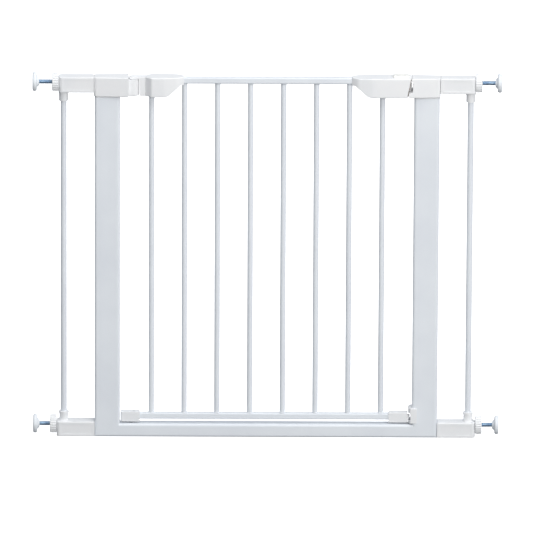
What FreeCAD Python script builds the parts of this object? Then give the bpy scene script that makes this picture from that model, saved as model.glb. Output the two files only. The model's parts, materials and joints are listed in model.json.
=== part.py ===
import FreeCAD, Part
import math
import os
import Sketcher

# A pressure-fitted safety gate: a steel U frame with a door that lifts and swings
# both ways, a latch with a thumb button, and four screw feet that press on the walls.
# Millimetres. X runs along the gate, -Y is the front, Z is up, the floor is Z = 0.

os.makedirs("parts", exist_ok=True)
doc = FreeCAD.newDocument("SafetyGate")

# Every driving size, then the sizes that follow from them.
SIZES = {
    # frame of steel tube
    "clear_half": "289",
    "upright_width": "50",
    "upright_depth": "30",
    "rail_height": "27",
    "frame_corner": "5",
    "frame_spare": "10",
    "tube_wall": "1.5",
    "foot_wall": "6",
    # mouldings along the top edge
    "moulding_bottom": "694",
    "moulding_height": "39",
    "moulding_overhang": "1.5",
    "end_half_depth": "16",
    "mid_half_depth": "21",
    "seam": "1.8",
    "plug_depth": "34",
    "plug_gap": "0.5",
    "soft_edge": "2.2",
    # hinge at the left
    "axis_inset": "25.6",
    "knuckle_radius": "12",
    "flange_radius": "8.2",
    "flange_height": "5.5",
    "swing_gap": "0.6",
    "neck_length": "11.2",
    "flare_length": "11.8",
    "flare_round": "6",
    "pin_recess": "4",
    "upper_pin_radius": "3.5",
    "upper_pin_length": "30",
    "lower_pin_radius": "4",
    "lower_pin_shoulder": "7.5",
    "running_gap": "0.05",
    # door
    "bar_pitch": "64.8",
    "bar_radius": "5.5",
    "bar_wall": "1",
    "door_rail_height": "13",
    "door_rail_half_depth": "7",
    "door_rail_corner": "3",
    "door_rail_wall": "1.2",
    "top_rail_drop": "1.6",
    "top_rail_skin": "1.5",
    "bottom_rail_level": "34.6",
    "rail_overlap": "4",
    "cap_overlap": "18",
    "hinge_nose": "163.4",
    "handle_nose": "166.3",
    "nose_rise": "12",
    "nose_round": "16",
    "nose_length": "28",
    "sweep_run": "26",
    "sweep_foot": "33",
    "sweep_radius": "20",
    # latch
    "latch_gap": "2",
    "latch_slant": "7.8",
    "seal_reach": "1.5",
    "seal_half_depth": "14",
    "handle_top_reach": "282.2",
    "bolt_half_width": "8",
    "bolt_height": "14",
    "bolt_rise": "12.5",
    "bolt_reach": "7",
    "bolt_length": "33.5",
    "bolt_gap": "0.1",
    "bolt_travel": "7",
    "door_lift": "5",
    "notch_depth": "2.2",
    "notch_corner": "3",
    "notch_gap": "1.2",
    "bolt_nose": "5",
    "bolt_taper": "4.5",
    "bolt_well_gap": "2",
    "spring_half_leaf": "0.9",
    "spring_rise": "2.6",
    "spring_width": "8",
    "spring_folds": "6",
    "button_length": "32",
    "button_half_width": "9.7",
    "button_rise": "4",
    "button_corner": "4",
    "button_edge": "1.4",
    "groove_inset": "6",
    "groove_width": "1.2",
    "groove_half_length": "7",
    "groove_depth": "0.6",
    "groove_spread": "17.6",
    "groove_count": "9",
    "track_depth": "2",
    "stem_length": "8",
    "stem_half_width": "4",
    "stem_seat": "2",
    "stem_setback": "22.5",
    # bottom corners of the door and the catch
    "cap_half_depth": "9.5",
    "cap_height": "20",
    "cap_level": "30.2",
    "cap_length": "38",
    "cap_gap": "0.8",
    "tongue_length": "4",
    "tongue_half_depth": "5",
    "tongue_height": "8",
    "tongue_gap": "1.5",
    "catch_height": "31",
    "catch_level": "30",
    "catch_skin": "2.2",
    "catch_web": "7.5",
    "catch_wrap": "9.5",
    # extension frame and screw feet
    "ext_bar_offset": "61",
    "ext_bar_radius": "6",
    "ext_bar_wall": "1.2",
    "upper_box_length": "70",
    "lower_box_length": "75",
    "box_half_depth": "16.5",
    "box_corner": "6",
    "panel_depth": "0.6",
    "panel_margin": "5",
    "upper_box_rise": "8",
    "upper_box_height": "31",
    "lower_box_bottom": "1.2",
    "lower_box_height": "30.2",
    "upper_screw_rise": "26.7",
    "lower_screw_level": "23.8",
    "spigot_radius": "6",
    "spigot_length": "14",
    "collar_radius": "9",
    "collar_rim": "1",
    "collar_rim_height": "4",
    "collar_height": "19",
    "screw_radius": "4.75",
    "screw_inner_reach": "25",
    "screw_bore_reach": "5",
    "wheel_radius": "18.6",
    "wheel_thickness": "13.2",
    "wheel_gap": "0.3",
    "wheel_ribs": "24",
    "rib_cut_radius": "2",
    "rib_cut_depth": "1.1",
    "pad_radius": "18.8",
    "pad_disc": "8.5",
    "pad_rim": "3.4",
    "pad_flare": "4",
    "wheel_edge": "2.4",
    "pad_length": "13",
    "pad_hub_radius": "7.5",
    "pad_reach": "122",
    "pad_socket": "8",
    # sizes that follow
    "half_depth": "=upright_depth / 2",
    "upright_outer": "=clear_half + upright_width",
    "upright_top": "=moulding_bottom - seam",
    "moulding_top": "=moulding_bottom + moulding_height",
    "moulding_end": "=upright_outer + moulding_overhang",
    "upper_box_bottom": "=moulding_bottom + upper_box_rise",
    "upper_screw_level": "=moulding_bottom + upper_screw_rise",
    "screw_inner_end": "=upright_outer + screw_inner_reach",
    "screw_bore_end": "=upright_outer + screw_bore_reach",
    "pad_face": "=upright_outer + pad_reach",
    "bolt_level": "=moulding_bottom + bolt_rise",
    "axis_x": "=clear_half - axis_inset",
    "housing_face": "=axis_x + flange_radius + swing_gap",
    "knuckle_top": "=moulding_top - flange_height - swing_gap",
    "flange_bottom": "=moulding_top - flange_height",
    "neck_x": "=axis_x - knuckle_radius - swing_gap",
    "flare_x": "=neck_x - neck_length",
    "full_x": "=flare_x - flare_length",
    "upper_pin_top": "=moulding_top - track_depth",
    "upper_pin_bottom": "=upper_pin_top - upper_pin_length",
    "upper_bore_bottom": "=upper_pin_bottom - swing_gap",
    "top_rail_top": "=moulding_top - top_rail_drop",
    "top_rail_bottom": "=top_rail_top - door_rail_height",
    "bottom_rail_top": "=bottom_rail_level + door_rail_height",
    "bar_end_x": "=3.5 * bar_pitch",
    "top_rail_end": "=bar_end_x + bar_radius + rail_overlap",
    "handle_foot_reach": "=handle_top_reach - latch_slant",
    "bolt_top": "=bolt_level + bolt_height",
    "bolt_exit": "=handle_foot_reach + latch_slant * (bolt_level - moulding_bottom) / moulding_height",
    "bolt_tip": "=bolt_exit + bolt_reach",
    "bolt_tail": "=bolt_tip - bolt_length",
    "bolt_middle": "=bolt_level + bolt_height / 2",
    "bolt_well": "=top_rail_end + bolt_well_gap",
    "spring_pitch": "=(bolt_tail - bolt_well - 2 * bolt_gap) / spring_folds",
    "notch_end": "=bolt_tip + notch_depth",
    "notch_bottom": "=bolt_level - notch_gap",
    "notch_top": "=bolt_top + door_lift + notch_gap",
    "button_right": "=handle_top_reach - 3",
    "button_left": "=button_right - button_length",
    "track_bottom": "=moulding_top - track_depth",
    "button_bottom": "=track_bottom + bolt_gap",
    "button_top": "=moulding_top + button_rise",
    "stem_left": "=bolt_tip - stem_setback",
    "stem_right": "=stem_left + stem_length",
    "catch_face": "=clear_half - catch_web",
    "left_cap_end": "=axis_x + axis_inset - 1.2",
    "right_cap_end": "=catch_face - cap_gap",
    "cap_top": "=cap_level + cap_height",
    "lower_rail_left": "=axis_x - lower_pin_radius - 3",
    "lower_rail_right": "=right_cap_end - cap_overlap",
    "lower_pin_top": "=cap_top - pin_recess",
    "tongue_level": "=cap_level + 6",
    "tongue_tip": "=right_cap_end + tongue_length",
    "catch_slot_end": "=tongue_tip + tongue_gap",
    "catch_slot_bottom": "=tongue_level - tongue_gap",
    "catch_slot_top": "=tongue_level + tongue_height + door_lift + tongue_gap",
    "catch_half": "=half_depth + catch_skin",
    "ext_bar_x": "=upright_outer + ext_bar_offset",
    "ext_bar_bottom": "=lower_screw_level + screw_radius + 1",
    "ext_bar_top": "=upper_box_bottom + 10",
    "spigot_level_upper": "=upper_box_bottom + upper_box_height / 2",
    "spigot_level_lower": "=lower_box_bottom + lower_box_height / 2",
}

sheet = doc.addObject("Spreadsheet::Sheet", "Sizes")
for row, (alias, text) in enumerate(SIZES.items(), start=1):
    sheet.set("A%d" % row, alias)
    sheet.set("B%d" % row, text)
    sheet.setAlias("B%d" % row, alias)
doc.recompute()


def is_number(word):
    return word.replace(".", "", 1).isdigit()


def measure(text):
    """The value and the sheet expression of a sum such as 'axis_x + seam - 2'."""
    value = 0.0
    terms = []
    sign = 1
    for word in text.replace("-", " - ").replace("+", " + ").split():
        if word in ("+", "-"):
            sign = -1 if word == "-" else 1
            continue
        amount = float(word) if is_number(word) else float(sheet.get(word))
        name = word if is_number(word) else "Sizes." + word
        value += sign * amount
        terms.append(("-" if sign < 0 else "+") + " " + name)
        sign = 1
    expression = " ".join(terms)
    return value, expression[2:] if expression.startswith("+ ") else "0 " + expression


def minus(text):
    """The same sum with every sign turned round."""
    swapped = ("+ " + text).replace("+", "@").replace("-", "+").replace("@", "-")
    return swapped.replace("- +", "+").replace("- -", "-").strip()


def bind(thing, prop, text):
    """Ties a property to the sheet."""
    value, expression = measure(text)
    thing.setExpression(prop, expression)
    return value


def new_body(label, half_turn=False, x="0", z="0"):
    """A body in its place, turned half round the vertical where left mirrors right."""
    body = doc.addObject("PartDesign::Body", label)
    body.Label = label
    turn = FreeCAD.Rotation(FreeCAD.Vector(0, 0, 1), 180 if half_turn else 0)
    body.Placement = FreeCAD.Placement(FreeCAD.Vector(), turn)
    for axis, text in (("x", x), ("z", z)):
        if text != "0":
            bind(body, "Placement.Base." + axis, text)
    return body


def new_sketch(body, plane, lift="0"):
    """A sketch on one of the body's own planes, moved along that plane's normal."""
    sketch = body.newObject("Sketcher::SketchObject", body.Label + "_sketch")
    role = {"xy": "XY_Plane", "xz": "XZ_Plane", "yz": "YZ_Plane"}[plane]
    base = [f for f in body.Origin.OriginFeatures if f.Role == role][0]
    sketch.AttachmentSupport = [(base, "")]
    sketch.MapMode = "FlatFace"
    if lift != "0":
        bind(sketch, "AttachmentOffset.Base.z", lift)
    return sketch


def hold_point(sketch, line, end, u, v):
    """Holds one end of a line, or a circle's centre, at a place given by the sheet."""
    for kind, axis, text in (("DistanceX", -2, u), ("DistanceY", -1, v)):
        if text == "0":
            sketch.addConstraint(Sketcher.Constraint("PointOnObject", line, end, axis))
            continue
        value, expression = measure(text)
        number = sketch.addConstraint(Sketcher.Constraint(kind, -1, 1, line, end, value))
        sketch.setExpression("Constraints[%d]" % number, expression)


def draw_outline(sketch, corners):
    """A closed outline with straight sides through the given corners."""
    first = sketch.GeometryCount
    spots = [FreeCAD.Vector(measure(u)[0], measure(v)[0], 0) for u, v in corners]
    count = len(spots)
    for i, spot in enumerate(spots):
        sketch.addGeometry(Part.LineSegment(spot, spots[(i + 1) % count]), False)
    for i, (u, v) in enumerate(corners):
        before = first + (i - 1) % count
        sketch.addConstraint(Sketcher.Constraint("Coincident", before, 2, first + i, 1))
        hold_point(sketch, first + i, 1, u, v)


def round_corner(sketch, first, second, radius):
    """Runs one line of an outline into the next with an arc, keeping the corner's place."""
    size, expression = measure(radius)
    middles = [
        (sketch.Geometry[line].StartPoint + sketch.Geometry[line].EndPoint) * 0.5
        for line in (first, second)
    ]
    arc = sketch.GeometryCount
    sketch.fillet(first, second, middles[0], middles[1], size, True, True)
    number = sketch.addConstraint(Sketcher.Constraint("Radius", arc, size))
    sketch.setExpression("Constraints[%d]" % number, expression)


def draw_circle(sketch, u, v, radius):
    centre = FreeCAD.Vector(measure(u)[0], measure(v)[0], 0)
    size, expression = measure(radius)
    line = sketch.addGeometry(Part.Circle(centre, FreeCAD.Vector(0, 0, 1), size), False)
    hold_point(sketch, line, 3, u, v)
    number = sketch.addConstraint(Sketcher.Constraint("Radius", line, size))
    sketch.setExpression("Constraints[%d]" % number, expression)


def draw_round_box(sketch, corners, radius):
    """A rectangle with rounded corners: four lines, each run into the next by an arc."""
    (left, low), (right, high) = corners[0], corners[2]
    size = measure(radius)[0]
    spots = [FreeCAD.Vector(measure(u)[0], measure(v)[0], 0) for u, v in corners]
    up = FreeCAD.Vector(0, 0, 1)
    for i, spot in enumerate(spots):
        following = spots[(i + 1) % 4]
        along = (following - spot).normalize() * size
        sketch.addGeometry(Part.LineSegment(spot + along, following - along), False)
    for i in range(4):
        centre = spots[(i + 1) % 4] + (spots[i] - spots[(i + 1) % 4]).normalize() * size
        centre += (spots[(i + 2) % 4] - spots[(i + 1) % 4]).normalize() * size
        start = math.radians(90 * i - 90)
        arc = Part.ArcOfCircle(Part.Circle(centre, up, size), start, start + math.pi / 2)
        sketch.addGeometry(arc, False)
    rules = []
    for i in range(4):
        rules.append(Sketcher.Constraint("Tangent", i, 2, 4 + i, 1))
        rules.append(Sketcher.Constraint("Tangent", 4 + i, 2, (i + 1) % 4, 1))
        rules.append(Sketcher.Constraint("Vertical" if i % 2 else "Horizontal", i))
    rules += [Sketcher.Constraint("Equal", 4, arc) for arc in (5, 6, 7)]
    sketch.addConstraint(rules)
    held = [
        ("Radius", (4,), radius),
        ("DistanceY", (-1, 1, 0, 1), low),
        ("DistanceX", (-1, 1, 1, 1), right),
        ("DistanceY", (-1, 1, 2, 1), high),
        ("DistanceX", (-1, 1, 3, 1), left),
    ]
    for kind, places, text in held:
        value, expression = measure(text)
        number = sketch.addConstraint(Sketcher.Constraint(kind, *places, value))
        sketch.setExpression("Constraints[%d]" % number, expression)


def both_sides(half):
    """Mirrors the corners of half a plan about the gate's middle plane."""
    return half + [(u, minus(v)) for u, v in reversed(half)]


def box_corners(left, right, low, high):
    return [(left, low), (right, low), (right, high), (left, high)]


def confirm(feature):
    """Stops at the first step that did not build."""
    if "Invalid" in feature.State or feature.Shape.isNull():
        raise RuntimeError("%s did not build: %s" % (feature.Label, feature.getStatusString()))


def grow(body, kind, sketch, length, midplane=False, backwards=False):
    """A pad or a pocket whose length follows the sheet, or a cut through everything."""
    feature = body.newObject("PartDesign::" + kind, body.Label + "_" + kind.lower())
    feature.Profile = sketch
    feature.Midplane = midplane
    feature.Reversed = backwards
    if length == "through":
        feature.Type = "ThroughAll"
    else:
        bind(feature, "Length", length)
    sketch.Visibility = False
    doc.recompute()
    confirm(feature)
    return feature


def draw(body, plane, corners, lift, radius):
    sketch = new_sketch(body, plane, lift)
    if radius:
        draw_round_box(sketch, corners, radius)
    else:
        draw_outline(sketch, corners)
    return sketch


def pad(body, plane, corners, length, lift="0", radius=None, **how):
    return grow(body, "Pad", draw(body, plane, corners, lift, radius), length, **how)


def pocket(body, plane, corners, length, lift="0", radius=None, **how):
    return grow(body, "Pocket", draw(body, plane, corners, lift, radius), length, **how)


def round_pad(body, plane, centre, radius, length, lift="0", **how):
    sketch = new_sketch(body, plane, lift)
    draw_circle(sketch, centre[0], centre[1], radius)
    return grow(body, "Pad", sketch, length, **how)


def round_pocket(body, plane, centre, radius, length, lift="0", **how):
    sketch = new_sketch(body, plane, lift)
    draw_circle(sketch, centre[0], centre[1], radius)
    return grow(body, "Pocket", sketch, length, **how)


def edges_in(shape, along=None, skip=None, x=None, y=None, z=None):
    """Names of the edges inside the given ranges, along one axis or not along another."""
    slack = 0.02
    ranges = {"x": x, "y": y, "z": z}
    found = []
    for number, edge in enumerate(shape.Edges, start=1):
        box = edge.BoundBox
        low = {"x": box.XMin, "y": box.YMin, "z": box.ZMin}
        high = {"x": box.XMax, "y": box.YMax, "z": box.ZMax}
        inside = all(
            span is None
            or (low[k] >= measure(span[0])[0] - slack and high[k] <= measure(span[1])[0] + slack)
            for k, span in ranges.items()
        )
        wide = [k for k in "xyz" if high[k] - low[k] >= slack]
        if inside and (along is None or wide == [along]) and wide != [skip]:
            found.append("Edge%d" % number)
    return found


def soften(body, radius, kind="Fillet", **where):
    """Rounds or bevels the picked edges of the body's last feature."""
    base = body.Tip
    names = edges_in(base.Shape, **where)
    if not names:
        raise RuntimeError("no edges to soften on " + body.Label)
    feature = body.newObject("PartDesign::" + kind, body.Label + "_" + kind.lower())
    feature.Base = (base, names)
    bind(feature, "Radius" if kind == "Fillet" else "Size", radius)
    doc.recompute()
    confirm(feature)
    return feature


NODES = []


def keep(thing):
    """Marks a finished piece for export under its label."""
    NODES.append(thing)
    return thing


# ---------------------------------------------------------------- frame tubes
def clear_away(body, left, right):
    """Cuts away everything between two upright planes across the gate."""
    edge = "half_depth + 1"
    pocket(body, "xy", box_corners(left, right, minus(edge), edge), "through", midplane=True)


def frame_blank(label, half_turn=False):
    """The whole welded U as one bar with rounded edges, from which each member is cut."""
    body = new_body(label, half_turn)
    spare_top = "upright_top + frame_spare"
    half = [("upright_outer", "0"), ("upright_outer", spare_top), ("clear_half", spare_top),
            ("clear_half", "rail_height")]
    outline = half + [(minus(u), v) for u, v in reversed(half)]
    pad(body, "xz", outline, "upright_depth", midplane=True)
    soften(body, "frame_corner", skip="y")
    edge = "half_depth + 1"
    pocket(body, "xy", box_corners("-upright_outer - 1", "upright_outer + 1", minus(edge), edge),
           "frame_spare", lift=spare_top)
    return body


def make_upright(label, half_turn):
    """An upright tube, closed at its foot, with a hole for the lower box's spigot."""
    body = frame_blank(label, half_turn)
    clear_away(body, "-upright_outer - 1", "clear_half")
    inner = "half_depth - tube_wall"
    hollow = box_corners("clear_half + tube_wall", "upright_outer - tube_wall", minus(inner), inner)
    pocket(body, "xy", hollow, "upright_top - foot_wall", lift="upright_top",
           radius="frame_corner - tube_wall")
    round_pocket(
        body, "yz", ("0", "spigot_level_lower"), "spigot_radius", "tube_wall + 1",
        lift="upright_outer",
    )
    keep(body)


def make_bottom_rail():
    """The member between the uprights, flush with them, with the lower hinge pin's hole."""
    body = frame_blank("bottom_rail")
    clear_away(body, "clear_half", "upright_outer + 1")
    clear_away(body, "-upright_outer - 1", "-clear_half")
    inner = "half_depth - tube_wall"
    pocket(body, "yz", box_corners(minus(inner), inner, "tube_wall", "rail_height - tube_wall"),
           "through", midplane=True, radius="frame_corner - tube_wall")
    round_pocket(body, "xy", ("-axis_x", "0"), "lower_pin_radius", "tube_wall + 1",
                 lift="rail_height")
    keep(body)


# --------------------------------------------------------- mouldings on the uprights
def add_plug(body):
    """A plug that drops into the upright's open top."""
    half = "half_depth - tube_wall - plug_gap"
    left = "clear_half + tube_wall + plug_gap"
    right = "upright_outer - tube_wall - plug_gap"
    pad(body, "xy", box_corners(left, right, minus(half), half), "plug_depth",
        lift="moulding_bottom", backwards=True, radius="frame_corner - tube_wall - plug_gap")


def add_spigot_socket(body):
    round_pocket(body, "yz", ("0", "spigot_level_upper"), "spigot_radius",
                 "spigot_length + swing_gap", lift="moulding_end")


def soften_moulding(body):
    """Rounds the outer end's corners, then the rims of the top and the foot."""
    soften(body, "box_corner", along="z", x=("moulding_end - 1", "moulding_end"))
    soften(body, "soft_edge", z=("moulding_top", "moulding_top"))
    soften(body, "soft_edge", z=("moulding_bottom", "moulding_bottom"))


def make_hinge_housing():
    """The fixed half of the upper hinge, with a knuckle bored for the pin."""
    body = new_body("upper_hinge_housing", half_turn=True)
    plan = both_sides([("housing_face", "mid_half_depth"), ("moulding_end", "end_half_depth")])
    pad(body, "xy", plan, "moulding_height", lift="moulding_bottom")
    tall = "knuckle_top - moulding_bottom"
    pad(body, "xy", box_corners("axis_x", "axis_x + 20", "-knuckle_radius", "knuckle_radius"),
        tall, lift="moulding_bottom")
    round_pad(body, "xy", ("axis_x", "0"), "knuckle_radius", tall, lift="moulding_bottom")
    soften_moulding(body)
    add_plug(body)
    round_pocket(body, "xy", ("axis_x", "0"), "upper_pin_radius + running_gap",
                 "knuckle_top - upper_bore_bottom", lift="knuckle_top")
    add_spigot_socket(body)
    keep(body)


def make_receiver():
    """The fixed latch block, notched right through so that the bolt can pass and lift."""
    body = new_body("latch_receiver")
    plan = both_sides(
        [("handle_foot_reach + latch_gap", "mid_half_depth"), ("moulding_end", "end_half_depth")]
    )
    pad(body, "xy", plan, "moulding_height", lift="moulding_bottom")
    wedge = [
        ("handle_foot_reach", "moulding_bottom"),
        ("handle_foot_reach + latch_gap", "moulding_bottom"),
        ("handle_top_reach + latch_gap", "moulding_top"),
        ("handle_foot_reach", "moulding_top"),
    ]
    pocket(body, "xz", wedge, "through", midplane=True)
    soften_moulding(body)
    notch = box_corners("handle_foot_reach", "notch_end", "notch_bottom", "notch_top")
    pocket(body, "xz", notch, "through", midplane=True, radius="notch_corner")
    add_plug(body)
    add_spigot_socket(body)
    keep(body)


# ----------------------------------------------------------------- door mouldings
def nose_plan(nose):
    """Half of the blunt nose that closes over the rail, seen from above."""
    return [
        (nose, "door_rail_half_depth + 1.2"),
        (nose + " + nose_rise", "mid_half_depth - 3"),
        (nose + " + nose_length + nose_rise", "mid_half_depth"),
    ]


def shape_nose(body, nose):
    """Sweeps the underside up to the rail and rounds the nose."""
    soften(body, "nose_round", along="z", x=(nose + " + 1", nose + " + nose_length"))
    soften(body, "nose_round - 12", along="z", x=(nose, nose))
    soften(body, "soft_edge", z=("moulding_bottom", "moulding_bottom"))
    soften(body, "soft_edge", z=("moulding_top", "moulding_top"))
    under = "top_rail_bottom - top_rail_skin"
    sketch = new_sketch(body, "xz")
    draw_outline(sketch, [
        (nose + " + sweep_foot + sweep_run", "moulding_bottom"),
        (nose + " + sweep_foot", "moulding_bottom"),
        (nose + " + sweep_foot - sweep_run", under),
        (nose + " - 5", under),
        (nose + " - 5", "moulding_bottom - 1"),
        (nose + " + sweep_foot + sweep_run", "moulding_bottom - 1"),
    ])
    round_corner(sketch, 0, 1, "sweep_radius")
    grow(body, "Pocket", sketch, "through", midplane=True)


def add_rail_socket(body, nose):
    """The pocket that takes the rail's end, and holes for the two bars nearest the end."""
    pocket(body, "xz", box_corners(nose + " - 5", "top_rail_end", "top_rail_bottom",
                                   "top_rail_top"),
           "door_rail_half_depth + door_rail_half_depth", midplane=True)
    for place in ("bar_end_x", "bar_end_x - bar_pitch"):
        round_pocket(body, "xy", (place, "0"), "bar_radius", "top_rail_bottom - moulding_bottom",
                     lift="moulding_bottom", backwards=True)


def make_hinge_block():
    """The door's half of the upper hinge, whose flange lies over the knuckle."""
    body = new_body("upper_hinge_block", half_turn=True)
    plan = nose_plan("hinge_nose") + [
        ("full_x", "mid_half_depth"),
        ("flare_x", "flange_radius"),
        ("neck_x", "flange_radius"),
    ]
    pad(body, "xy", both_sides(plan), "moulding_height", lift="moulding_bottom")
    flange = box_corners("neck_x - 1", "axis_x", "-flange_radius", "flange_radius")
    pad(body, "xy", flange, "flange_height", lift="flange_bottom")
    round_pad(body, "xy", ("axis_x", "0"), "flange_radius", "flange_height",
              lift="flange_bottom")
    soften(body, "flare_round", along="z", x=("full_x", "full_x"))
    shape_nose(body, "hinge_nose")
    add_rail_socket(body, "hinge_nose")
    round_pocket(body, "xy", ("axis_x", "0"), "upper_pin_radius + running_gap",
                 "upper_pin_top + running_gap - flange_bottom", lift="flange_bottom",
                 backwards=True)
    keep(body)


def make_handle():
    """The hand grip over the latch, with a rib that closes the gap and a track on top."""
    body = new_body("handle_housing")
    plan = nose_plan("handle_nose") + [("handle_top_reach", "mid_half_depth")]
    pad(body, "xy", both_sides(plan), "moulding_height", lift="moulding_bottom")
    slant = [
        ("handle_foot_reach", "moulding_bottom"),
        ("handle_top_reach + 5", "moulding_bottom"),
        ("handle_top_reach + 5", "moulding_top"),
        ("handle_top_reach", "moulding_top"),
    ]
    pocket(body, "xz", slant, "through", midplane=True)
    shape_nose(body, "handle_nose")
    add_rail_socket(body, "handle_nose")
    seal = [
        ("handle_foot_reach - 2", "moulding_bottom"),
        ("handle_foot_reach + seal_reach", "moulding_bottom"),
        ("handle_top_reach + seal_reach", "moulding_top"),
        ("handle_top_reach - 2", "moulding_top"),
    ]
    pad(body, "xz", seal, "seal_half_depth + seal_half_depth", midplane=True)
    wide = "bolt_half_width + bolt_gap"
    low = "bolt_level - bolt_gap"
    mouth = "handle_top_reach + latch_gap"
    pocket(body, "xz", box_corners("bolt_well", mouth, low, "bolt_top + bolt_gap"),
           "bolt_half_width + bolt_half_width + bolt_gap + bolt_gap", midplane=True)
    track = "button_half_width + bolt_gap"
    pocket(body, "xy",
           box_corners("button_left - bolt_travel - bolt_gap", "button_right + bolt_gap",
                       minus(track), track),
           "track_depth", lift="moulding_top")
    slot = "stem_half_width + bolt_gap"
    pocket(body, "xy",
           box_corners("stem_left - bolt_travel - bolt_gap", "stem_right + bolt_gap",
                       minus(slot), slot),
           "moulding_top - bolt_top", lift="moulding_top")
    keep(body)


# -------------------------------------------------------------------------- latch
def stem_plan():
    return box_corners("stem_left", "stem_right", "-stem_half_width", "stem_half_width")


def make_bolt():
    """The bolt, tapered at its nose, with a seat for the button's stem."""
    body = new_body("latch_bolt")
    shoulder = "bolt_tip - bolt_nose"
    plan = both_sides(
        [("bolt_tail", "bolt_half_width"), (shoulder, "bolt_half_width"),
         ("bolt_tip", "bolt_half_width - bolt_taper")]
    )
    pad(body, "xy", plan, "bolt_height", lift="bolt_level")
    soften(body, "0.6", x=(shoulder, "bolt_tip"), z=("bolt_top", "bolt_top"))
    pocket(body, "xy", stem_plan(), "bolt_height - stem_seat", lift="bolt_top")
    keep(body)


def make_button():
    """The thumb button: a grooved cap on a stem that stands in the bolt."""
    body = new_body("thumb_button")
    top = box_corners("button_left", "button_right", "-button_half_width", "button_half_width")
    pad(body, "xy", top, "button_top - button_bottom", lift="button_bottom")
    soften(body, "button_corner", along="z")
    soften(body, "button_edge", z=("button_top", "button_top"))
    near = "button_left + groove_inset"
    outline = box_corners(near, near + " + groove_width", "-groove_half_length",
                          "groove_half_length")
    groove = pocket(body, "xy", outline, "groove_depth", lift="button_top")
    row = body.newObject("PartDesign::LinearPattern", "button_grooves")
    row.Originals = [groove]
    row.Direction = (groove.Profile[0], ["H_Axis"])
    bind(row, "Length", "groove_spread")
    bind(row, "Occurrences", "groove_count")
    body.Tip = row
    doc.recompute()
    pad(body, "xy", stem_plan(), "button_bottom - bolt_level - stem_seat",
        lift="button_bottom", backwards=True)
    keep(body)


def make_spring():
    """A leaf folded to and fro behind the bolt, which pushes it out."""
    body = new_body("latch_spring")
    folds = int(measure("spring_folds")[0])
    under = []
    over = []
    for fold in range(folds + 1):
        along = "bolt_well + bolt_gap" + " + spring_pitch" * fold
        height = "bolt_middle " + ("+" if fold % 2 else "-") + " spring_rise"
        under.append((along, height + " - spring_half_leaf"))
        over.append((along, height + " + spring_half_leaf"))
    pad(body, "xz", under + over[::-1], "spring_width", midplane=True)
    keep(body)


# ------------------------------------------------------------------- hinge pins
def make_pins():
    upper = new_body("upper_hinge_pin")
    round_pad(upper, "xy", ("-axis_x", "0"), "upper_pin_radius",
              "upper_pin_top - upper_pin_bottom", lift="upper_pin_bottom")
    soften(upper, "0.6", kind="Chamfer", z=("upper_pin_bottom", "upper_pin_bottom"))
    keep(upper)

    lower = new_body("lower_hinge_pin")
    round_pad(lower, "xy", ("-axis_x", "0"), "lower_pin_radius",
              "lower_pin_top - tube_wall", lift="tube_wall")
    round_pad(lower, "xy", ("-axis_x", "0"), "lower_pin_shoulder",
              "cap_level - rail_height - 0.3", lift="rail_height")
    soften(lower, "1", kind="Chamfer", z=("lower_pin_top", "lower_pin_top"))
    keep(lower)


# ------------------------------------------------------------- door's lower corners
def add_cap_socket(body, near, far):
    pocket(body, "xz", box_corners(near, far, "bottom_rail_level", "bottom_rail_top"),
           "door_rail_half_depth + door_rail_half_depth", midplane=True)


def make_lower_caps():
    left = new_body("lower_hinge_cap", half_turn=True)
    inner = "left_cap_end - cap_length"
    slant = both_sides([(inner, "cap_half_depth"), ("left_cap_end - 2.2", "cap_half_depth"),
                        ("left_cap_end", "cap_half_depth - 3")])
    pad(left, "xy", slant, "cap_height", lift="cap_level")
    soften(left, "1.2", z=("cap_top", "cap_top"))
    soften(left, "1", z=("cap_level", "cap_level"))
    add_cap_socket(left, inner, "lower_rail_left")
    round_pocket(left, "xy", ("axis_x", "0"), "lower_pin_radius + running_gap", "through",
                 midplane=True, lift="cap_level")
    keep(left)

    right = new_body("lower_latch_cap")
    inner = "right_cap_end - cap_length"
    plan = box_corners(inner, "right_cap_end", "-cap_half_depth", "cap_half_depth")
    pad(right, "xy", plan, "cap_height", lift="cap_level")
    soften(right, "1.5", along="z", x=("right_cap_end", "right_cap_end"))
    soften(right, "1.2", z=("cap_top", "cap_top"))
    soften(right, "1", z=("cap_level", "cap_level"))
    tongue = box_corners("right_cap_end - 1", "tongue_tip", "-tongue_half_depth",
                         "tongue_half_depth")
    pad(right, "xy", tongue, "tongue_height", lift="tongue_level")
    soften(right, "1.5", along="z", x=("tongue_tip", "tongue_tip"))
    add_cap_socket(right, inner, "lower_rail_right")
    keep(right)


def make_catch():
    """A saddle round the upright's inner edge, slotted for the door's tongue."""
    body = new_body("lower_catch")
    plan = both_sides([("catch_face", "catch_half - 8"), ("catch_face + 4", "catch_half"),
                       ("clear_half + catch_wrap", "catch_half")])
    pad(body, "xy", plan, "catch_height", lift="catch_level")
    soften(body, "2", along="z", x=("catch_face", "catch_face + 4"))
    soften(body, "1.6", z=("catch_level + catch_height", "catch_level + catch_height"))
    soften(body, "1", z=("catch_level", "catch_level"))
    half = "half_depth"
    pocket(body, "xy", box_corners("clear_half", "upright_outer", minus(half), half), "through",
           midplane=True, lift="catch_level")
    soften(body, "frame_corner", along="z", x=("clear_half", "clear_half"))
    slot = box_corners("catch_face - 1", "catch_slot_end", "catch_slot_bottom", "catch_slot_top")
    pocket(body, "xz", slot, "through", midplane=True)
    keep(body)


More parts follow.
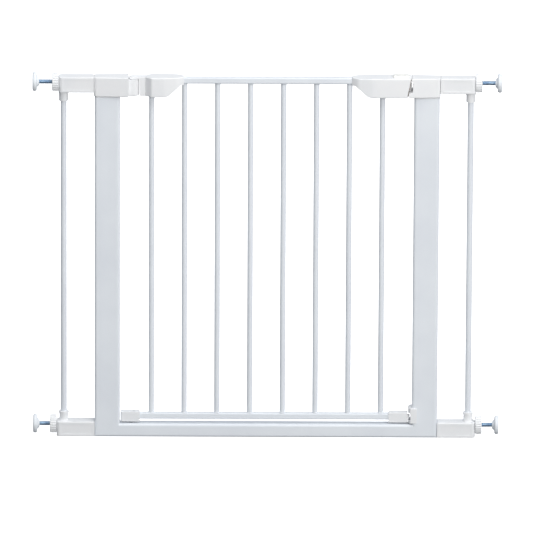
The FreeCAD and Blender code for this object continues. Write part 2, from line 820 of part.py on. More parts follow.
# ------------------------------------------------------------------ door steelwork
def make_door_rail(label, left, right, level):
    """A rounded rectangular tube along X."""
    body = new_body(label)
    half = "door_rail_half_depth"
    top = level + " + door_rail_height"
    pad(body, "yz", box_corners(minus(half), half, level, top), left + " + " + right,
        lift=minus(left), radius="door_rail_corner")
    inner = "door_rail_half_depth - door_rail_wall"
    low = level + " + door_rail_wall"
    high = level + " + door_rail_height - door_rail_wall"
    pocket(body, "yz", box_corners(minus(inner), inner, low, high), "through", midplane=True,
           radius="door_rail_corner - door_rail_wall")
    keep(body)


def make_tube(label, x, bottom, top, radius, wall):
    """An upright round tube made of two cylinders."""
    parts = []
    for suffix, size in (("_outer", radius), ("_bore", radius + " - " + wall)):
        cylinder = doc.addObject("Part::Cylinder", label + suffix)
        bind(cylinder, "Radius", size)
        bind(cylinder, "Height", top + " - " + bottom)
        cylinder.Placement = FreeCAD.Placement()
        bind(cylinder, "Placement.Base.z", bottom)
        parts.append(cylinder)
    tube = doc.addObject("Part::Cut", label)
    tube.Label = label
    tube.Base, tube.Tool = parts
    tube.setExpression("Placement.Base.x", x)
    doc.recompute()
    keep(tube)


def make_door_steel():
    make_door_rail("door_top_rail", "top_rail_end", "top_rail_end", "top_rail_bottom")
    make_door_rail("door_bottom_rail", "lower_rail_left", "lower_rail_right",
                   "bottom_rail_level")
    bars = 8
    for number in range(bars):
        place = "Sizes.bar_pitch * %.1f" % (number - (bars - 1) / 2)
        make_tube("door_bar_%d" % (number + 1), place, "bottom_rail_top", "top_rail_bottom",
                  "bar_radius", "bar_wall")


# ------------------------------------------------------- extension frame and screws
def make_box(label, half_turn, level, start, length):
    """An extension box: a solid moulding bored for the screw and for the bar."""
    body = new_body(label, half_turn)
    bottom = level + "_box_bottom"
    top = bottom + " + " + level + "_box_height"
    end = "upright_outer + " + length
    plan = box_corners(start, end, "-box_half_depth", "box_half_depth")
    pad(body, "xy", plan, level + "_box_height", lift=bottom)
    soften(body, "box_corner", along="z", x=(end, end))
    soften(body, "soft_edge", z=(top, top))
    soften(body, "1.5", z=(bottom, bottom))
    panel = box_corners(start + " + panel_margin", end + " - panel_margin - 4",
                        bottom + " + panel_margin", top + " - panel_margin")
    for side, backwards in (("box_half_depth", False), ("-box_half_depth", True)):
        pocket(body, "xz", panel, "panel_depth", lift=side, backwards=backwards)
    peg = "spigot_level_" + level
    round_pad(body, "yz", ("0", peg), "spigot_radius", "spigot_length", lift=start,
              backwards=True)
    tip = start + " - spigot_length"
    soften(body, "1", kind="Chamfer", x=(tip, tip))
    round_pocket(body, "yz", ("0", level + "_screw_level"), "screw_radius + running_gap",
                 end + " - screw_bore_end", lift=end)
    low, high = ("ext_bar_bottom", top) if level == "lower" else (bottom, "ext_bar_top")
    round_pocket(body, "xy", ("ext_bar_x", "0"), "ext_bar_radius", high + " " + minus(low),
                 lift=high)
    keep(body)


def make_collar(label, half_turn, level):
    """A ring that holds the extension bar to its box, with a rim at its upper end."""
    body = new_body(label, half_turn)
    foot = "lower_box_bottom + lower_box_height"
    if level == "upper":
        foot = "upper_box_bottom - collar_height"
    top = foot + " + collar_height"
    centre = ("ext_bar_x", "0")
    round_pad(body, "xy", centre, "collar_radius", "collar_height", lift=foot)
    round_pad(body, "xy", centre, "collar_radius + collar_rim", "collar_rim_height",
              lift=top, backwards=True)
    soften(body, "0.5", z=(top, top))
    round_pocket(body, "xy", centre, "ext_bar_radius", "collar_height", lift=top)
    keep(body)


def make_wheel(label, half_turn, level, box_length):
    """The ribbed nut that bears on the box and drives the screw."""
    body = new_body(label, half_turn, z=level + "_screw_level")
    near = "upright_outer + wheel_gap + " + box_length
    round_pad(body, "yz", ("0", "0"), "wheel_radius", "wheel_thickness", lift=near)
    soften(body, "wheel_edge")
    round_pocket(body, "yz", ("0", "0"), "screw_radius + running_gap", "wheel_thickness",
                 lift=near, backwards=True)
    cut = round_pocket(body, "yz", ("0", "wheel_radius + rib_cut_radius - rib_cut_depth"),
                       "rib_cut_radius", "wheel_thickness", lift=near, backwards=True)
    ring = body.newObject("PartDesign::PolarPattern", label + "_ribs")
    ring.Originals = [cut]
    ring.Axis = (cut.Profile[0], ["N_Axis"])
    ring.Angle = 360
    ring.setExpression("Occurrences", "Sizes.wheel_ribs")
    body.Tip = ring
    doc.recompute()
    keep(body)


def make_screw(label, half_turn, level):
    """The plain-turned body of the screw: its thread is cut to the same diameter."""
    body = new_body(label, half_turn, z=level + "_screw_level")
    length = "pad_face - pad_length + pad_socket - screw_inner_end"
    round_pad(body, "yz", ("0", "0"), "screw_radius", length, lift="screw_inner_end")
    soften(body, "0.8", kind="Chamfer", x=("screw_inner_end", "screw_inner_end"))
    keep(body)


def make_pad(label, half_turn, level):
    """The wall pad: a disc on a tapered hub, pressed on the screw's end."""
    body = new_body(label, half_turn, z=level + "_screw_level")
    back = "pad_face - pad_length"
    sketch = new_sketch(body, "xz")
    draw_outline(sketch, [
        (back, "0"),
        (back, "pad_hub_radius"),
        ("pad_face - pad_disc", "pad_hub_radius + pad_flare"),
        ("pad_face - pad_disc", "pad_radius"),
        ("pad_face", "pad_radius"),
        ("pad_face", "0"),
    ])
    turned = body.newObject("PartDesign::Revolution", label + "_turned")
    turned.Profile = sketch
    turned.ReferenceAxis = (sketch, ["H_Axis"])
    turned.Angle = 360
    sketch.Visibility = False
    doc.recompute()
    rim = "pad_radius"
    soften(body, "pad_rim", x=("pad_face - pad_disc", "pad_face"), z=(minus(rim), rim),
           y=(minus(rim), rim), skip="x")
    round_pocket(body, "yz", ("0", "0"), "screw_radius", "pad_socket", lift=back,
                 backwards=True)
    keep(body)


def make_extensions():
    """Four boxes, two bars with their collars, and the four screw feet."""
    for side, half_turn, sign in (("left", True, "0 - "), ("right", False, "")):
        for level, start, length in (("upper", "moulding_end", "upper_box_length"),
                                     ("lower", "upright_outer", "lower_box_length")):
            name = level + "_" + side
            make_box("extension_box_" + name, half_turn, level, start, length)
            make_collar("bar_collar_" + name, half_turn, level)
            make_wheel("adjusting_wheel_" + name, half_turn, level, length)
            make_screw("spindle_" + name, half_turn, level)
            make_pad("wall_pad_" + name, half_turn, level)
        make_tube("extension_bar_" + side, sign + "Sizes.ext_bar_x", "ext_bar_bottom",
                  "ext_bar_top", "ext_bar_radius", "ext_bar_wall")


def check_and_export():
    """Stops if any object failed, then writes one file for each piece."""
    doc.recompute()
    for thing in doc.Objects:
        if "Invalid" in thing.State or "Error" in thing.State:
            raise RuntimeError("%s did not build: %s" % (thing.Label, thing.State))
    for node in NODES:
        if node.Shape.isNull() or not node.Shape.isValid():
            raise RuntimeError(node.Label + " has no sound shape")
        node.Shape.exportStep("parts/%s.step" % node.Label)
    print("%d pieces written" % len(NODES))


make_upright("left_upright", True)
make_upright("right_upright", False)
make_bottom_rail()
make_hinge_housing()
make_receiver()
make_hinge_block()
make_handle()
make_bolt()
make_button()
make_spring()
make_pins()
make_lower_caps()
make_catch()
make_door_steel()
make_extensions()
check_and_export()
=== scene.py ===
# %% [markdown]
# # A pressure-fitted safety gate
# A steel frame presses on the two sides of a doorway with four screw feet, and a barred
# door in it lifts and swings both ways. The shapes of the tubes and mouldings come from
# the imported CAD model, which this script loads as a fixed frame and never changes. What is
# left to make here is what a CAD model leaves plain: the finishes, the screws' real thread,
# the weld beads, two brown-grey strips that paint the shade in the latch seam, and the studio
# around them.

# %% Load the frame
import json
import math

import bmesh
import bpy
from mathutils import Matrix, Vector


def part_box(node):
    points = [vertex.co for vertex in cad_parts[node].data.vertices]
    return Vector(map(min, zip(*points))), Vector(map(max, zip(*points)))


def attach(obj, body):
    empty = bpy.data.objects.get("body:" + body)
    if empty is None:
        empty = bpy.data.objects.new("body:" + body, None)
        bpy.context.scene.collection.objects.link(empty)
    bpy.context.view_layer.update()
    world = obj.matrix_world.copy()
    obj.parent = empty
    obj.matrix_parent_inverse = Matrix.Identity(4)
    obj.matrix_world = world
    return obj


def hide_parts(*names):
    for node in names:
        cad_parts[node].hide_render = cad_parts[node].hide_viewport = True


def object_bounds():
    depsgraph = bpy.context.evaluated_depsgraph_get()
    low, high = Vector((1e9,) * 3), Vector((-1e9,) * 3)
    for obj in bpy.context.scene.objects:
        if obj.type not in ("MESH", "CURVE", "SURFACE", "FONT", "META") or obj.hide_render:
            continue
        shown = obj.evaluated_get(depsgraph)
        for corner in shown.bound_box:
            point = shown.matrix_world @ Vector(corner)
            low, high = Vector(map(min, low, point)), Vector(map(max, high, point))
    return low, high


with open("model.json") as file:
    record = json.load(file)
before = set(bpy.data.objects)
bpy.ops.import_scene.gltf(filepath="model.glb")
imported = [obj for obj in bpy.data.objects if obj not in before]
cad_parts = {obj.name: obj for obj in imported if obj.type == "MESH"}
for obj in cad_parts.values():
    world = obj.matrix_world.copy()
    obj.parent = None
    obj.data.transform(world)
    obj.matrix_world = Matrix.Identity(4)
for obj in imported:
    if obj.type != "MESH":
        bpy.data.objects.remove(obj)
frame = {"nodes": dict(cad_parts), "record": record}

cad_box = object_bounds()
print("pieces in the frame:", len(frame["nodes"]))
print("size in metres:", [round(high - low, 4) for low, high in zip(*cad_box)])

# %% [markdown]
# ## Two small helpers
# Colours are written as the hex values a designer would pick on a screen. A renderer works
# in linear light, so one function turns each value before it is used. A second function
# adds a shader node: it looks each name up among the node's sockets first, and among its
# properties after that, so that every finish below reads as a short recipe.

# %% Colour and node helpers
MILLIMETRE = 0.001


def linear(hex_colour):
    """An sRGB hex value as the linear colour that the shaders need."""
    channels = [int(hex_colour[i : i + 2], 16) / 255 for i in (0, 2, 4)]
    turned = [c / 12.92 if c <= 0.04045 else ((c + 0.055) / 1.055) ** 2.4 for c in channels]
    return (*turned, 1.0)


def add_node(tree, kind, settings=None, links=None):
    """A node of that kind, with its values set and its inputs linked."""
    node = tree.nodes.new(kind)
    for name, value in (settings or {}).items():
        if name in node.inputs:
            node.inputs[name].default_value = value
        else:
            setattr(node, name, value)
    for name, source in (links or {}).items():
        tree.links.new(source, node.inputs[name])
    return node


def per_metre(size_mm):
    """A texture scale that repeats once in that many millimetres."""
    return 1.0 / (size_mm * MILLIMETRE)


print("middle grey in linear light:", [round(c, 3) for c in linear("808080")])

# %% [markdown]
# ## White powder coat
# The tubes are steel, coated with white polyester powder and baked. The powder melts and
# flows, but never quite flat: it keeps a soft "orange peel" of waves two or three
# millimetres long and a few microns high, and a finer dust grain. An image texture could
# show it, but noise needs no unwrapping and never repeats, so the waves are one noise, the
# grain is another, and both only tilt the surface through a bump.

# %% The powder-coat recipe
PEEL_WAVE_MM = 2.4
POWDER_GRAIN_MM = 0.5
GRAIN_SHARE = 0.35  # how much of the relief is grain, beside the waves
PAINT_BATCH_MM = 90  # the size of the patches over which the white drifts
RAMP_DARK, RAMP_LIGHT = 0.35, 0.65  # the noise values where the two colours are reached


def speckled_bump(tree, place, coarse_mm, fine_mm, height_mm, strength):
    """A bump made of long soft waves with a fine grain on top of them."""
    waves = add_node(
        tree,
        "ShaderNodeTexNoise",
        {"Scale": per_metre(coarse_mm), "Detail": 1.0, "Roughness": 0.4},
        {"Vector": place},
    )
    grain = add_node(
        tree,
        "ShaderNodeTexNoise",
        {"Scale": per_metre(fine_mm), "Detail": 2.0, "Roughness": 0.6},
        {"Vector": place},
    )
    both = add_node(tree, "ShaderNodeMath", {"operation": "MULTIPLY_ADD"})
    both.inputs[1].default_value = GRAIN_SHARE
    tree.links.new(grain.outputs["Fac"], both.inputs[0])
    tree.links.new(waves.outputs["Fac"], both.inputs[2])
    return add_node(
        tree,
        "ShaderNodeBump",
        {"Strength": strength, "Distance": height_mm * MILLIMETRE},
        {"Height": both.outputs["Value"]},
    )


def blotched_colour(tree, place, light_hex, dark_hex, patch_mm):
    """A colour that drifts slightly over the surface, as any real batch does."""
    patches = add_node(
        tree,
        "ShaderNodeTexNoise",
        {"Scale": per_metre(patch_mm), "Detail": 3.0, "Roughness": 0.55},
        {"Vector": place},
    )
    ramp = add_node(tree, "ShaderNodeValToRGB", links={"Fac": patches.outputs["Fac"]})
    ramp.color_ramp.elements[0].position = RAMP_DARK
    ramp.color_ramp.elements[0].color = linear(dark_hex)
    ramp.color_ramp.elements[1].position = RAMP_LIGHT
    ramp.color_ramp.elements[1].color = linear(light_hex)
    return ramp.outputs["Color"]


def varied_roughness(tree, place, low, high, patch_mm):
    """A roughness that wanders between two values, so that highlights break up."""
    patches = add_node(
        tree,
        "ShaderNodeTexNoise",
        {"Scale": per_metre(patch_mm), "Detail": 2.0},
        {"Vector": place},
    )
    spread = add_node(
        tree,
        "ShaderNodeMapRange",
        {"To Min": low, "To Max": high},
        {"Value": patches.outputs["Fac"]},
    )
    return spread.outputs["Result"]


def new_finish(name):
    """An empty material, its shader, and coordinates in metres on the gate itself."""
    material = bpy.data.materials.new(name)
    material.use_nodes = True
    tree = material.node_tree
    shader = tree.nodes["Principled BSDF"]
    place = add_node(tree, "ShaderNodeTexCoord").outputs["Object"]
    return material, tree, shader, place


def link_surface(tree, shader, colour, roughness, bump):
    """The colour, the roughness and the relief go into the shader."""
    tree.links.new(colour, shader.inputs["Base Color"])
    tree.links.new(roughness, shader.inputs["Roughness"])
    tree.links.new(bump.outputs["Normal"], shader.inputs["Normal"])


def make_powder_coat():
    """Semi-gloss white polyester powder on steel tube."""
    material, tree, shader, place = new_finish("white_powder_coat")
    shader.inputs["IOR"].default_value = 1.5
    colour = blotched_colour(tree, place, "EDF1F6", "E8ECF2", PAINT_BATCH_MM)
    roughness = varied_roughness(tree, place, low=0.34, high=0.42, patch_mm=14)
    bump = speckled_bump(
        tree, place, PEEL_WAVE_MM, POWDER_GRAIN_MM, height_mm=0.05, strength=0.35
    )
    link_surface(tree, shader, colour, roughness, bump)
    return material


powder_coat = make_powder_coat()
print("powder coat waves per metre:", per_metre(PEEL_WAVE_MM))

# %% [markdown]
# ## White moulded plastic
# The hinge and latch blocks, the handle and the extension boxes are injection-moulded ABS.
# The mould is spark eroded, so it prints a fine, even grain, duller than the paint beside
# it, and the white is a touch warmer. The grain is about a third of a millimetre, which is
# too fine for a picture of the whole gate, so it is drawn at twice that.

# %% The moulded plastics
SPARK_GRAIN_MM = 0.6
SPARK_CLUSTER_MM = 4 * SPARK_GRAIN_MM  # the softer unevenness under the grain


def make_moulded_plastic(name, light_hex, dark_hex, rough_low, rough_high, bump_strength):
    """Moulded ABS: a dull dielectric with an even spark-eroded grain."""
    material, tree, shader, place = new_finish(name)
    shader.inputs["IOR"].default_value = 1.54
    colour = blotched_colour(tree, place, light_hex, dark_hex, patch_mm=60)
    roughness = varied_roughness(tree, place, rough_low, rough_high, patch_mm=9)
    bump = speckled_bump(
        tree, place, SPARK_CLUSTER_MM, SPARK_GRAIN_MM, height_mm=0.04, strength=bump_strength
    )
    link_surface(tree, shader, colour, roughness, bump)
    return material


moulded_plastic = make_moulded_plastic(
    "moulded_abs_white", "F6F6F7", "F1F2F4", rough_low=0.44, rough_high=0.54, bump_strength=0.4
)
button_plastic = make_moulded_plastic(
    "moulded_button_white", "FBFAF6", "F7F6F2", rough_low=0.32, rough_high=0.4, bump_strength=0.15
)
pad_plastic = make_moulded_plastic(
    "soft_pad_white", "F1F5F9", "EBEFF4", rough_low=0.5, rough_high=0.62, bump_strength=0.5
)
print("plastics:", moulded_plastic.name, button_plastic.name, pad_plastic.name)

# %% [markdown]
# ## Zinc, turned steel and spring wire
# The screws are zinc plated and dipped in a clear blue passivation, which leaves a cool
# steel-blue sheen that drifts from patch to patch. A metal has no colour under its
# reflection, so the blue goes in the base colour with metallic at one, and the IOR is left
# alone. The hidden pins are plain turned steel: fine rings run round them, drawn by a wave
# across their length.

# %% The metals
PLATING_PATCH_MM = 7
STEEL_PATCH_MM = 5
TURNED_RING_MM = 0.4
WAVES_PER_SCALE = 20  # a wave texture of scale one repeats twenty times in a metre


def make_blue_zinc():
    """Zinc plate with a blue passivation on a rolled thread."""
    material, tree, shader, place = new_finish("blue_passivated_zinc")
    shader.inputs["Metallic"].default_value = 1.0
    colour = blotched_colour(tree, place, "C3D6E6", "A3BBD4", PLATING_PATCH_MM)
    roughness = varied_roughness(tree, place, low=0.24, high=0.38, patch_mm=3)
    bump = speckled_bump(
        tree, place, coarse_mm=1.5, fine_mm=0.3, height_mm=0.02, strength=0.3
    )
    link_surface(tree, shader, colour, roughness, bump)
    return material


def make_turned_steel(name, light_hex, dark_hex, roughness):
    """Bright steel with the fine rings of the lathe or the drawing die."""
    material, tree, shader, place = new_finish(name)
    shader.inputs["Metallic"].default_value = 1.0
    shader.inputs["Roughness"].default_value = roughness
    colour = blotched_colour(tree, place, light_hex, dark_hex, STEEL_PATCH_MM)
    rings = add_node(
        tree,
        "ShaderNodeTexWave",
        {
            "bands_direction": "Z",
            "Scale": per_metre(TURNED_RING_MM) / WAVES_PER_SCALE,
            "Distortion": 0.4,
        },
        {"Vector": place},
    )
    bump = add_node(
        tree,
        "ShaderNodeBump",
        {"Strength": 0.3, "Distance": 0.01 * MILLIMETRE},
        {"Height": rings.outputs["Fac"]},
    )
    tree.links.new(colour, shader.inputs["Base Color"])
    tree.links.new(bump.outputs["Normal"], shader.inputs["Normal"])
    return material


blue_zinc = make_blue_zinc()
turned_steel = make_turned_steel("turned_steel", "C9CBCE", "B4B7BB", roughness=0.3)
spring_wire = make_turned_steel("drawn_spring_wire", "A9ABAE", "8F9194", roughness=0.35)
print("metals:", blue_zinc.name, turned_steel.name, spring_wire.name)

# %% [markdown]
# ## Paint the CAD pieces
# Each CAD piece already has the right shape, so it only needs its finish. The record says
# which material slot each piece belongs to, and one table turns slots into finishes. That
# is safer than a list of piece names, because a new piece finds its finish by itself.

# %% Give every CAD piece its finish
FINISHES = {
    "powder_coat": powder_coat,
    "moulding_plastic": moulded_plastic,
    "button_plastic": button_plastic,
    "pad_plastic": pad_plastic,
    "blue_zinc": blue_zinc,
    "steel_pin": turned_steel,
    "spring_steel": spring_wire,
}


def give_finish(piece, material):
    """The piece shows this material and no other."""
    piece.data.materials.clear()
    piece.data.materials.append(material)


def piece_from(mesh, name, smooth=True):
    """The drawn mesh as a new object in the scene; the drawing itself is freed."""
    data = bpy.data.meshes.new(name)
    mesh.to_mesh(data)
    mesh.free()
    if smooth:
        data.shade_smooth()
    piece = bpy.data.objects.new(name, data)
    bpy.context.scene.collection.objects.link(piece)
    return piece


slot_of = {part["node"]: part["material_slot"] for part in frame["record"]["subparts"]}
for node, piece in frame["nodes"].items():
    give_finish(piece, FINISHES[slot_of[node]])
print("painted", len(slot_of), "pieces in", len(set(slot_of.values())), "finishes")

# %% [markdown]
# ## The rolled threads
# A screw could be a smooth cylinder with a striped bump, but its outline would stay
# straight, and the notched outline is what says "thread". So the thread is real: one grid
# of points is wrapped round the axis, and each point's radius depends on how far along the
# axis it is compared with how far round it is. A two millimetre pitch, coarse for quick
# adjustment, stays inside the plain CAD bar's diameter.

# %% Wrap a thread round each screw
THREAD_PITCH = 2.0 * MILLIMETRE
THREAD_DEPTH = 1.15 * MILLIMETRE
STEPS_ROUND = 40
STEPS_PER_PITCH = 12
FLAT_CREST = 0.17  # the share of a turn that is flat on the crest
FLAT_ROOT = 0.06  # and the share that is flat at the root


def thread_height(phase):
    """How high the thread stands, from 0 at the root to 1 on the crest, round one turn."""
    from_crest = abs(phase - 0.5) * 2.0
    flank = (1.0 - FLAT_ROOT - from_crest) / (1.0 - FLAT_ROOT - FLAT_CREST)
    return min(1.0, max(0.0, flank))


def make_threaded_rod(name, node, body):
    """A rod of the CAD bar's length and diameter, with a real helical thread."""
    low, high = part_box(node)
    outer = (high.z - low.z) / 2
    middle_z = (high.z + low.z) / 2
    length = high.x - low.x
    rows = int(length / THREAD_PITCH * STEPS_PER_PITCH)
    mesh = bmesh.new()
    rings = []
    for row in range(rows + 1):
        along = length * row / rows
        runout = min(1.0, min(along, length - along) / THREAD_PITCH)
        ring = []
        for step in range(STEPS_ROUND):
            turn = step / STEPS_ROUND
            phase = (along / THREAD_PITCH - turn) % 1.0
            depth = THREAD_DEPTH * (1.0 - thread_height(phase) * runout)
            radius = outer - depth
            angle = math.tau * turn
            ring.append(
                mesh.verts.new(
                    (low.x + along, radius * math.sin(angle), middle_z + radius * math.cos(angle))
                )
            )
        rings.append(ring)
    for lower, upper in zip(rings, rings[1:]):
        for step in range(STEPS_ROUND):
            following = (step + 1) % STEPS_ROUND
            mesh.faces.new((lower[step], upper[step], upper[following], lower[following]))
    mesh.faces.new(rings[0])
    mesh.faces.new(list(reversed(rings[-1])))
    bmesh.ops.recalc_face_normals(mesh, faces=mesh.faces)
    rod = piece_from(mesh, name)
    give_finish(rod, blue_zinc)
    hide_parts(node)
    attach(rod, body)
    return rod


CORNERS = [level + "_" + side for level in ("upper", "lower") for side in ("left", "right")]
for corner in CORNERS:
    rod = make_threaded_rod("threaded_rod_" + corner, "spindle_" + corner, "screw_" + corner)
    print(rod.name, "has", len(rod.data.polygons), "faces")

# %% [markdown]
# ## Weld beads
# Each bar of the door is welded to both rails, and the paint softens the bead into a small
# hollow ring. Without it a bar looks pushed on, with a hard black line round it. A fillet
# on the CAD bar would do it, but the bead is the welder's and not a machined size, so it is
# a separate little ring, turned from a curved profile and slightly uneven round the bar.

# %% Turn a bead at both ends of every bar
BEAD_LEG = 1.3 * MILLIMETRE
BEAD_STEPS = 6
BEAD_ROUND = 32
BEAD_RIPPLE = 0.12  # how uneven the bead is, as a share of its size
RIPPLES_ROUND = 5
DOOR_BARS = sorted(node for node in frame["nodes"] if node.startswith("door_bar_"))


def add_bead(mesh, centre, radius, face_z, direction):
    """One hollow ring between a bar and the rail's face, running up or down the bar."""
    rings = []
    for step in range(BEAD_STEPS + 1):
        lean = math.pi / 2 * step / BEAD_STEPS
        out = BEAD_LEG * (1.0 - math.sin(lean))
        rise = BEAD_LEG * (1.0 - math.cos(lean))
        ring = []
        for turn in range(BEAD_ROUND):
            angle = math.tau * turn / BEAD_ROUND
            uneven = 1.0 + BEAD_RIPPLE * math.sin(RIPPLES_ROUND * angle + centre.x / BEAD_LEG)
            reach = radius + out * uneven
            ring.append(
                mesh.verts.new(
                    (
                        centre.x + reach * math.cos(angle),
                        centre.y + reach * math.sin(angle),
                        face_z + direction * rise * uneven,
                    )
                )
            )
        rings.append(ring)
    for inner, outer in zip(rings, rings[1:]):
        for turn in range(BEAD_ROUND):
            following = (turn + 1) % BEAD_ROUND
            mesh.faces.new((inner[turn], inner[following], outer[following], outer[turn]))


def make_beads():
    """All the beads of the door in one piece, which rides on the door."""
    mesh = bmesh.new()
    for node in DOOR_BARS:
        low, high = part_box(node)
        centre = (low + high) / 2
        radius = (high.x - low.x) / 2
        add_bead(mesh, centre, radius, low.z, 1.0)
        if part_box("upper_hinge_block")[1].x < centre.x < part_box("handle_housing")[0].x:
            add_bead(mesh, centre, radius, high.z, -1.0)
    bmesh.ops.recalc_face_normals(mesh, faces=mesh.faces)
    beads = piece_from(mesh, "weld_beads")
    give_finish(beads, powder_coat)
    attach(beads, "door")
    return beads


weld_beads = make_beads()
print("weld bead faces:", len(weld_beads.data.polygons))

# %% [markdown]
# ## Seam shade strips
# The slanted end of the handle closes on the receiver, and the seam between them shows a
# warm brown-grey line, not a bright slit. That line is shade in the gap, and here it is painted:
# two brown-grey strips fill the gap, in front of and behind the handle's middle rib. Each is a
# slim slanted bar with its edges rolled over, and it rides on the door.

# %% Set the strips in the gap
STRIP_THICK = 1.2 * MILLIMETRE
STRIP_INNER = 14.3 * MILLIMETRE
STRIP_OUTER = 19.2 * MILLIMETRE
STRIP_END_GAP = 2.6 * MILLIMETRE
STRIP_EDGE = 0.25 * MILLIMETRE
HANDLE_SLANT = 7.8 * MILLIMETRE  # how far the handle's end leans over its height
HANDLE_RIB = 1.5 * MILLIMETRE  # how far the rib stands out from that end


def make_painted_seam_shade():
    """Brown-grey, dull and slightly uneven: painted shade for the latch seam."""
    material, tree, shader, place = new_finish("painted_seam_shade")
    shader.inputs["IOR"].default_value = 1.52
    # painted shade: this brown-grey stands in for the shade in the seam between handle and
    # receiver
    colour = blotched_colour(tree, place, "85776A", "756859", patch_mm=12)
    roughness = varied_roughness(tree, place, low=0.6, high=0.75, patch_mm=5)
    bump = speckled_bump(
        tree, place, coarse_mm=2.0, fine_mm=0.5, height_mm=0.04, strength=0.4
    )
    link_surface(tree, shader, colour, roughness, bump)
    return material


def add_slanted_bar(mesh, near_y, far_y):
    """A six-sided bar that follows the handle's slanted end from foot to top."""
    low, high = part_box("handle_housing")
    foot_x = high.x - HANDLE_RIB - HANDLE_SLANT
    corners = []
    for z in (low.z + STRIP_END_GAP, high.z - STRIP_END_GAP):
        x = foot_x + HANDLE_SLANT * (z - low.z) / (high.z - low.z)
        corners += [(x, near_y, z), (x + STRIP_THICK, near_y, z)]
        corners += [(x + STRIP_THICK, far_y, z), (x, far_y, z)]
    spots = [mesh.verts.new(corner) for corner in corners]
    mesh.faces.new(spots[:4])
    mesh.faces.new(spots[4:])
    for side in range(4):
        after = (side + 1) % 4
        mesh.faces.new((spots[side], spots[after], spots[4 + after], spots[4 + side]))


def make_seam_shade_strips():
    """Both strips, which paint the seam's shade, in one piece on the door."""
    mesh = bmesh.new()
    for sign in (-1, 1):
        add_slanted_bar(mesh, sign * STRIP_INNER, sign * STRIP_OUTER)
    bmesh.ops.recalc_face_normals(mesh, faces=mesh.faces)
    bmesh.ops.bevel(mesh, geom=mesh.edges[:], offset=STRIP_EDGE, segments=2, affect="EDGES")
    strips = piece_from(mesh, "seam_shade_strips", smooth=False)
    # the strips carry the painted seam shade
    give_finish(strips, make_painted_seam_shade())
    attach(strips, "door")
    return strips


seam_shade_strips = make_seam_shade_strips()
print("bumper strip faces:", len(seam_shade_strips.data.polygons))

# %% [markdown]
# ## Floor
# A product like this is shown on a seamless white sweep. A large pale plane does the same:
# it runs far behind the gate, so the picture's edge never shows, and a whisper of noise
# keeps it from looking computed. It must not fill the gate's shadows with bounced light,
# because that would wash out the dark side of every bar, so it is hidden from those rays.

# %% Lay the floor
FLOOR_HALF = 30.0
FLOOR_DROP = 0.5 * MILLIMETRE
FLOOR_GLOW = 1.0  # it shines a little by itself, so it stays white under the gate
FLOOR_ROUGHNESS = 0.9
FLOOR_SHEEN = 0.1


def make_floor():
    """A wide pale plane just under the gate."""
    level = cad_box[0].z - FLOOR_DROP
    bpy.ops.mesh.primitive_plane_add(size=2 * FLOOR_HALF, location=(0, 0, level))
    floor = bpy.context.object
    floor.name = "studio_floor"
    material, tree, shader, place = new_finish("studio_paper")
    colour = blotched_colour(tree, place, "FFFFFF", "FCFCFD", patch_mm=400)
    tree.links.new(colour, shader.inputs["Base Color"])
    tree.links.new(colour, shader.inputs["Emission Color"])
    shader.inputs["Emission Strength"].default_value = FLOOR_GLOW
    shader.inputs["Roughness"].default_value = FLOOR_ROUGHNESS
    shader.inputs["Specular IOR Level"].default_value = FLOOR_SHEEN
    give_finish(floor, material)
    floor.visible_diffuse = False
    floor.visible_glossy = False
    return floor


floor = make_floor()
print("floor at", round(floor.location.z, 4), "m")

# %% [markdown]
# ## Light
# Soft light from the upper right makes the tops nearly white, the fronts pale blue-grey and
# the left edges of the bars dark, which is what draws them. A wide soft box does the work,
# a second one overhead lifts the tops, and the sky is a gradient that is bright on the
# right and overhead and dim below, so that undersides and seams stay dark enough to see.

# %% Hang the lights
GATE_MIDDLE = (cad_box[0] + cad_box[1]) / 2
SKY_LEFT, SKY_RIGHT = 0.36, 0.78
SKY_BELOW, SKY_ABOVE = 0.22, 1.36
KEY_PLACE, KEY_SIZE, KEY_WATTS = (1.5, -3.8, 1.5), 2.2, 76.0
TOP_PLACE, TOP_SIZE, TOP_WATTS = (0.2, -0.9, 3.2), 2.0, 28.0


def hang_softbox(name, place, size, power, hex_colour):
    """A square area light at that place, turned to the middle of the gate."""
    data = bpy.data.lights.new(name, "AREA")
    data.shape = "SQUARE"
    data.size = size
    data.energy = power
    data.color = linear(hex_colour)[:3]
    lamp = bpy.data.objects.new(name, data)
    lamp.location = Vector(place)
    lamp.rotation_euler = (GATE_MIDDLE - lamp.location).to_track_quat("-Z", "Y").to_euler()
    bpy.context.scene.collection.objects.link(lamp)
    return lamp


def ramp_along(tree, source, low, high):
    """A strength that climbs from one side of the sky to the other."""
    spread = add_node(
        tree,
        "ShaderNodeMapRange",
        {"From Min": -1.0, "From Max": 1.0, "To Min": low, "To Max": high},
        {"Value": source},
    )
    return spread.outputs["Result"]


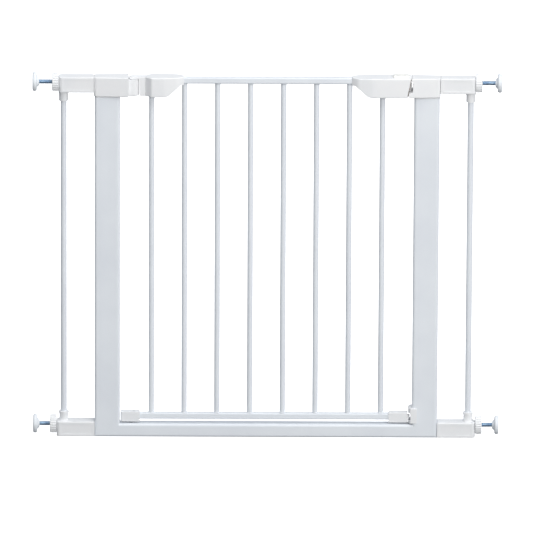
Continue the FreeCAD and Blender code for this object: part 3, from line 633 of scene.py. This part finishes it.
def make_sky():
    """A studio world that is bright on the right and overhead, and dim below."""
    world = bpy.data.worlds.new("studio_sky")
    bpy.context.scene.world = world
    world.use_nodes = True
    tree = world.node_tree
    direction = add_node(tree, "ShaderNodeTexCoord").outputs["Generated"]
    axes = add_node(tree, "ShaderNodeSeparateXYZ", links={"Vector": direction})
    both = add_node(tree, "ShaderNodeMath", {"operation": "MULTIPLY"})
    tree.links.new(ramp_along(tree, axes.outputs["X"], SKY_LEFT, SKY_RIGHT), both.inputs[0])
    tree.links.new(ramp_along(tree, axes.outputs["Z"], SKY_BELOW, SKY_ABOVE), both.inputs[1])
    background = tree.nodes["Background"]
    background.inputs["Color"].default_value = linear("F1F5FA")
    tree.links.new(both.outputs["Value"], background.inputs["Strength"])
    return world


sky = make_sky()
key_light = hang_softbox("right_softbox", KEY_PLACE, KEY_SIZE, KEY_WATTS, "FFFDF8")
top_light = hang_softbox("top_softbox", TOP_PLACE, TOP_SIZE, TOP_WATTS, "FFFFFF")
print("lights:", key_light.name, top_light.name)

# %% [markdown]
# ## Camera
# The gate is seen from straight in front and a little above, with a very long lens: its
# uprights stay parallel, and only the tops of the mouldings show that the eye is higher
# than they are. A camera twenty metres away with a long lens gives that, and keeps the
# picture free of the lean that a short lens would add.

# %% Set the camera
VIEW_DISTANCE = 20.0
VIEW_ELEVATION = math.radians(14.9)
VIEW_AZIMUTH = math.radians(-0.15)
VIEW_ROLL = math.radians(0.254)
VIEW_HEIGHT = 0.3465
LENS_MM = 684.7
SENSOR_MM = 36.0
CLIP_METRES = 100.0


def set_camera():
    """A long lens in front of the gate, a little above it, level but for a slight roll."""
    target = Vector((GATE_MIDDLE.x, GATE_MIDDLE.y, cad_box[0].z + VIEW_HEIGHT))
    back = Vector(
        (
            math.sin(VIEW_AZIMUTH) * math.cos(VIEW_ELEVATION),
            -math.cos(VIEW_AZIMUTH) * math.cos(VIEW_ELEVATION),
            math.sin(VIEW_ELEVATION),
        )
    )
    data = bpy.data.cameras.new("catalogue_camera")
    data.lens = LENS_MM
    data.sensor_width = SENSOR_MM
    data.clip_end = CLIP_METRES
    camera = bpy.data.objects.new("catalogue_camera", data)
    camera.location = target + back * VIEW_DISTANCE
    camera.rotation_euler = back.to_track_quat("Z", "Y").to_euler()
    camera.rotation_euler.rotate_axis("Z", VIEW_ROLL)
    bpy.context.scene.collection.objects.link(camera)
    bpy.context.scene.camera = camera
    return camera


camera = set_camera()
bpy.context.scene.view_settings.view_transform = "Standard"
print("camera at", [round(v, 3) for v in camera.location])

# %% [markdown]
# ## Update the scene
# The last line brings the view layer up to date.

# %% Update the view layer
bpy.context.view_layer.update()
